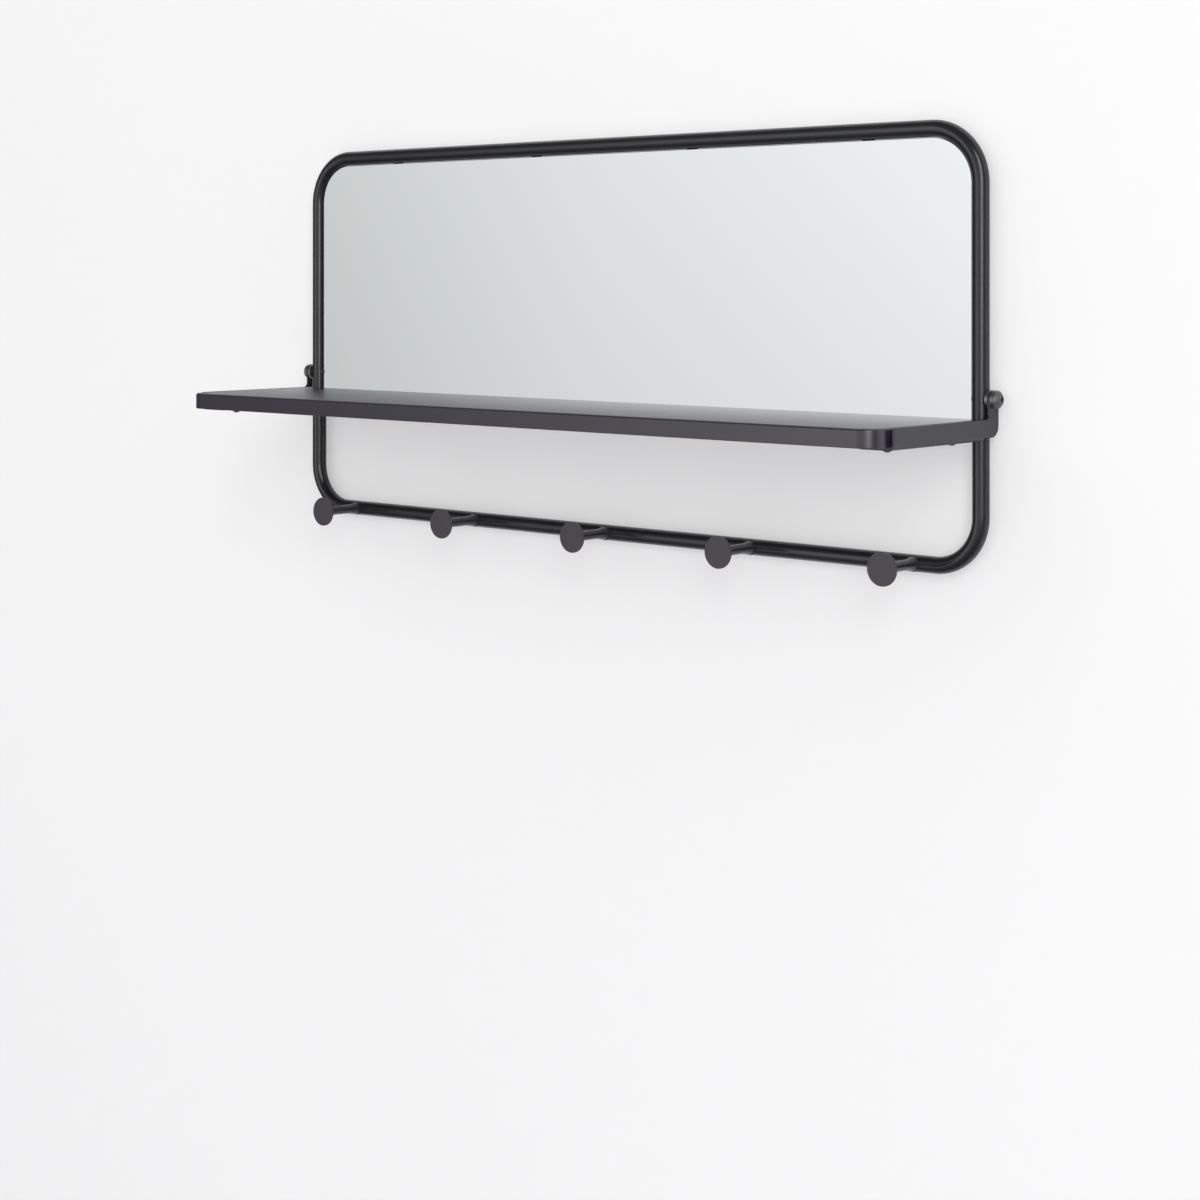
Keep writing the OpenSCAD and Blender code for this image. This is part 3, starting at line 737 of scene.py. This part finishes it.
def makeTabScrews():
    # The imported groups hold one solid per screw, and a copy goes to the middle of each cell's points.
    # Known fault: the top tabs' screws lie across cell edges, so each is made two or three times, 3 mm apart.
    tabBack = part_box("top_tabs")[1].y
    places = []
    for group in ("side_tab_screws", "top_tab_screws"):
        clusters = {}
        for corner in frame["nodes"][group].data.vertices:
            key = (round(corner.co.x / tabScrewCell), round(corner.co.z / tabScrewCell))
            clusters.setdefault(key, []).append((corner.co.x, corner.co.z))
        for key in sorted(clusters):
            across, up = zip(*clusters[key])
            places.append((((min(across) + max(across)) / 2, tabBack, (min(up) + max(up)) / 2), (0, 1, 0)))
    screws = copiesOf("tabScrews", screwPattern(tabScrewSizes), places, brightZinc)
    settle(screws, "root", "zinc", "side_tab_screws", "top_tab_screws")
    print("tab screw copies:", len(places))


insertSizes = {"bore": 3.05 * mm, "crown": 1.5 * mm, "crown width": 1.6, "crown step": 15}  # step in degrees
washerSizes = {"bore": 3.1 * mm, "soft": 0.3 * mm, "slit": 1 * mm, "turns": 72}


def makeInserts():
    # Bushes for the bolts through the side tubes, their inner ends crowned
    low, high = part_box("pivot_insert_right")
    outer, length = (high.z - low.z) / 2, high.x - low.x
    bore, crown = insertSizes["bore"], insertSizes["crown"]
    profile = [(bore, 0), (outer, 0), (outer, length - crown)]
    for degrees in range(insertSizes["crown step"], 91, insertSizes["crown step"]):
        turn = math.radians(degrees)
        profile.append((outer - crown * (1 - math.cos(turn)) * insertSizes["crown width"],
                        length - crown * (1 - math.sin(turn))))
    profile += [(bore, length), (bore, 0)]
    pattern = lathed("insertPattern", profile, washerSizes["turns"])
    inserts = copiesOf("pivotInserts", pattern, pivotPlaces(high.x, -1), tubeCoat)
    settle(inserts, "root", "gunmetal", "pivot_insert_left", "pivot_insert_right")


def ringSection(outer, thickness):
    # Section of a flat ring with eased rims, as (radius, height) points
    bore, soft = washerSizes["bore"], washerSizes["soft"]
    return [(bore, soft), (bore + soft, 0), *easedRim(outer, thickness, soft),
            (bore + soft, thickness), (bore, thickness - soft)]


def makeFlatWashers(layer):
    names = ["%s_washer_%s" % (layer, side) for side in ("left", "right")]
    low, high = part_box(names[1])
    section = ringSection((high.z - low.z) / 2, high.x - low.x)
    pattern = lathed("washerPattern", section + section[:1], washerSizes["turns"])
    washers = copiesOf(layer + "Washers", pattern, pivotPlaces(low.x), dullZinc)
    settle(washers, "root", "zinc", *names)


def makeLockWashers():
    # Split spring rings, each with its slit at the foot
    low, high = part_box("lock_washer_right")
    section = ringSection((high.y - low.y) / 2, high.x - low.x)
    steps = washerSizes["turns"]
    bm = bmesh.new()
    for side in (-1, 1):
        rings = []
        for i in range(steps + 1):
            ring = []
            for radius, height in section:
                gap = math.asin(washerSizes["slit"] / 2 / radius)
                angle = gap + (2 * math.pi - 2 * gap) * i / steps
                ring.append(bm.verts.new((side * (low.x + height), pivot.y + radius * math.sin(angle),
                                          pivot.z - radius * math.cos(angle))))
            rings.append(ring)
        bridge(bm, rings)
        bm.faces.new(rings[0])
        bm.faces.new(reversed(rings[-1]))
    bmesh.ops.recalc_face_normals(bm, faces=bm.faces)
    washers = shaded(pieceFrom("lockWashers", bm))
    wear(washers, dullZinc)
    settle(washers, "root", "zinc", "lock_washer_left", "lock_washer_right")


makeBolts()
makeInserts()
makeShelfScrews()
makeTabScrews()
makeFlatWashers("inner")
makeFlatWashers("outer")
makeLockWashers()
print("fasteners made")


for nodeName in ("hanger_left", "hanger_right", "mirror_channel", "side_tab_left_low", "side_tab_left_high",
                 "side_tab_right_low", "side_tab_right_high", "top_tabs"):
    softened(nodeName, easedEdges["back steel"], tubeCoat, "root", "coat")
for nodeName in ("wall_bumper_left", "wall_bumper_right"):
    wear(frame["nodes"][nodeName], wallRubber)
print("back dressed")


roomSizes = {"wall width": 12.0, "wall height": 7.0, "floor drop": 1.5, "floor depth": 8.0, "gap": 0.2 * mm}
roomColours = {"pale": 0.93, "plain share": 0.38, "floor": 0.8, "thrown back": (0.5, 0.465, 0.505)}


def grey(level):
    return (level, level, level, 1)


def shaderMix(tree, share, first, second):
    return addNode(tree, "ShaderNodeMixShader", {0: share, 1: first, 2: second}).outputs["Shader"]


def wallFinish():
    # Pale matt wall with a soft shadow. It is clear from behind and lets lamps through, to show the back.
    finish, tree, shader = newFinish("paleWall")
    tree.nodes.remove(shader)
    matt = addNode(tree, "ShaderNodeBsdfDiffuse", {"Color": grey(roomColours["pale"])}).outputs["BSDF"]
    glow = addNode(tree, "ShaderNodeEmission", {"Color": grey(roomColours["pale"])}).outputs["Emission"]
    clear = addNode(tree, "ShaderNodeBsdfTransparent").outputs["BSDF"]
    path = addNode(tree, "ShaderNodeLightPath").outputs
    behind = addNode(tree, "ShaderNodeNewGeometry").outputs["Backfacing"]
    plain = maths(tree, "MULTIPLY", path["Is Camera Ray"], roomColours["plain share"])
    away = maths(tree, "MAXIMUM", behind, path["Is Shadow Ray"])
    surface = shaderMix(tree, away, shaderMix(tree, plain, matt, glow), clear)
    wire(tree, surface, tree.nodes["Material Output"].inputs["Surface"])
    return finish


def floorFinish():
    # The camera sees it paler than what it throws back up under the shelf
    finish, tree, shader = newFinish("paleFloor")
    seen = addNode(tree, "ShaderNodeLightPath").outputs["Is Camera Ray"]
    colour = mixed(tree, seen, (*roomColours["thrown back"], 1), grey(roomColours["floor"]))
    feed(tree, shader, {"Base Color": colour, "Roughness": 0.9, "Specular IOR Level": 0.1})
    return finish


def stageSheet(name, corners, finish):
    bm = bmesh.new()
    bm.faces.new([bm.verts.new(corner) for corner in corners])
    piece = pieceFrom(name, bm)
    wear(piece, finish)
    return piece


def makeRoom():
    side, depth, back = roomSizes["wall width"] / 2, roomSizes["floor depth"], roomSizes["gap"]
    low = -roomSizes["floor drop"]
    high = low + roomSizes["wall height"]
    wall = [(-side, back, low), (side, back, low), (side, back, high), (-side, back, high)]
    floor = [(-side, -depth, low), (side, -depth, low), (side, depth, low), (-side, depth, low)]
    stageSheet("wall", wall, wallFinish())
    stageSheet("floor", floor, floorFinish()).visible_glossy = False


skyLight = {"left": 1.14, "right": 0.58, "coats": 2.5}
# Stops of a room's brightness or colour, from 0 at the far left or straight down to 1 at the far right or up.
# What the mirror sees: pale walls that fall off to both sides, under a dim ceiling
mirrorAcross = [(0.0, (0.26, 0.27, 0.27)), (0.075, (0.48, 0.5, 0.49)), (0.125, (0.655, 0.682, 0.672)),
                (0.1725, (0.83, 0.85, 0.85)), (0.2375, (0.965, 0.975, 0.985)), (0.5, 1.0), (0.84, 0.95),
                (0.9, 0.3), (1.0, 0.1)]
mirrorUpward = [(0.0, 0.5), (0.4, 0.8), (0.53, 1.0), (0.62, 1.0), (0.76, 0.25), (1.0, 0.1)]
# What the coats see: a band of walls at eye height, brightest to the left of the middle
coatAcross = [(0.0, 0.02), (0.1, 0.05), (0.14, 0.2), (0.185, 0.6), (0.215, 0.9), (0.27, 0.85), (0.34, 0.6),
              (0.45, 0.45), (0.84, 0.36), (0.9, 0.2), (1.0, 0.08)]
coatUpward = [(0.0, 0.05), (0.22, 0.15), (0.36, 0.65), (0.5, 1.0), (0.6, 0.65), (0.7, 0.18), (0.8, 0.03),
              (1.0, 0.0)]


def colourRamp(tree, source, stops):
    ramp = addNode(tree, "ShaderNodeValToRGB", {"Fac": source})
    marks = ramp.color_ramp.elements
    while len(marks) < len(stops):
        marks.new(0.5)
    for mark, (place, value) in zip(marks, stops):
        mark.position = place
        mark.color = (*value, 1) if isinstance(value, tuple) else grey(value)
    return ramp.outputs["Color"]


def background(tree, colour, strength=1):
    light = addNode(tree, "ShaderNodeBackground", {"Color": colour, "Strength": strength})
    return light.outputs["Background"]


def makeWorld():
    # Each room is one ramp along X times one along Z, and each kind of ray sees its own
    world = bpy.data.worlds.new("studio")
    bpy.context.scene.world = world
    world.use_nodes = True
    tree = world.node_tree
    tree.nodes.remove(tree.nodes["Background"])
    coords = addNode(tree, "ShaderNodeTexCoord").outputs["Generated"]
    parts = addNode(tree, "ShaderNodeSeparateXYZ", {0: coords}).outputs
    across, upward = [ramped(tree, parts[axis], -1, 1) for axis in ("X", "Z")]
    rooms = []
    for acrossStops, upwardStops, strength in ((mirrorAcross, mirrorUpward, 1),
                                               (coatAcross, coatUpward, skyLight["coats"])):
        colour = mixed(tree, 1, colourRamp(tree, across, acrossStops), colourRamp(tree, upward, upwardStops),
                       "MULTIPLY")
        rooms.append(background(tree, colour, strength))
    mirrorRoom, coatRoom = rooms
    path = addNode(tree, "ShaderNodeLightPath").outputs
    seen = maths(tree, "MAXIMUM", path["Is Camera Ray"], path["Is Transmission Ray"])
    light = background(tree, colourRamp(tree, across, [(0.0, skyLight["left"]), (1.0, skyLight["right"])]))
    for share, room in ((path["Is Glossy Ray"], coatRoom), (path["Is Singular Ray"], mirrorRoom),
                        (seen, background(tree, grey(roomColours["pale"])))):
        light = shaderMix(tree, share, light, room)
    wire(tree, light, tree.nodes["World Output"].inputs["Surface"])


# azimuth is measured from straight in front towards the right, and height from level, both in degrees;
# glow is the lamp's own brightness
lampSettings = {
    "keyLamp": {"azimuth": 46, "height": 17, "distance": 8.0, "width": 3.4, "tall": 6.2, "glow": 4.6},
    "backLamp": {"azimuth": 200, "height": 35, "distance": 4.0, "width": 1.6, "tall": 1.6, "glow": 5.0}}


def areaLamp(name, azimuth, height, distance, width, tall, glow):
    turn, lift = math.radians(azimuth), math.radians(height)
    spot = Vector((math.sin(turn) * math.cos(lift), -math.cos(turn) * math.cos(lift), math.sin(lift)))
    spot *= distance
    lamp = bpy.data.lights.new(name, "AREA")
    lamp.shape = "RECTANGLE"
    lamp.size = width
    lamp.size_y = tall
    lamp.energy = glow * math.pi * width * tall
    holder = objectFrom(name, lamp)
    holder.location = spot
    holder.rotation_euler = (-spot).to_track_quat("-Z", "Y").to_euler()


cameraView = {"lens": 66.06, "shift": -0.268, "place": (1.506, -1.7595, 0.0243), "turn": 40.93}


def makeCamera():
    camera = bpy.data.cameras.new("camera")
    camera.sensor_width = 36
    camera.lens = cameraView["lens"]
    camera.shift_y = cameraView["shift"]
    camera.clip_end = 50
    holder = objectFrom("camera", camera)
    holder.location = cameraView["place"]
    holder.rotation_euler = (math.radians(90), 0, math.radians(cameraView["turn"]))
    bpy.context.scene.camera = holder


# The mirror stays plain above the shelf. The right bracket is still seen, for the dark slot at its corner.
for name in ("shelfBoard", "bracket_left_eased", "shelfScrews"):
    bpy.data.objects[name].visible_glossy = False
makeRoom()
makeWorld()
for name, settings in lampSettings.items():
    areaLamp(name, **settings)
makeCamera()
bpy.context.scene.view_settings.view_transform = "Standard"
print("room, light and camera set")
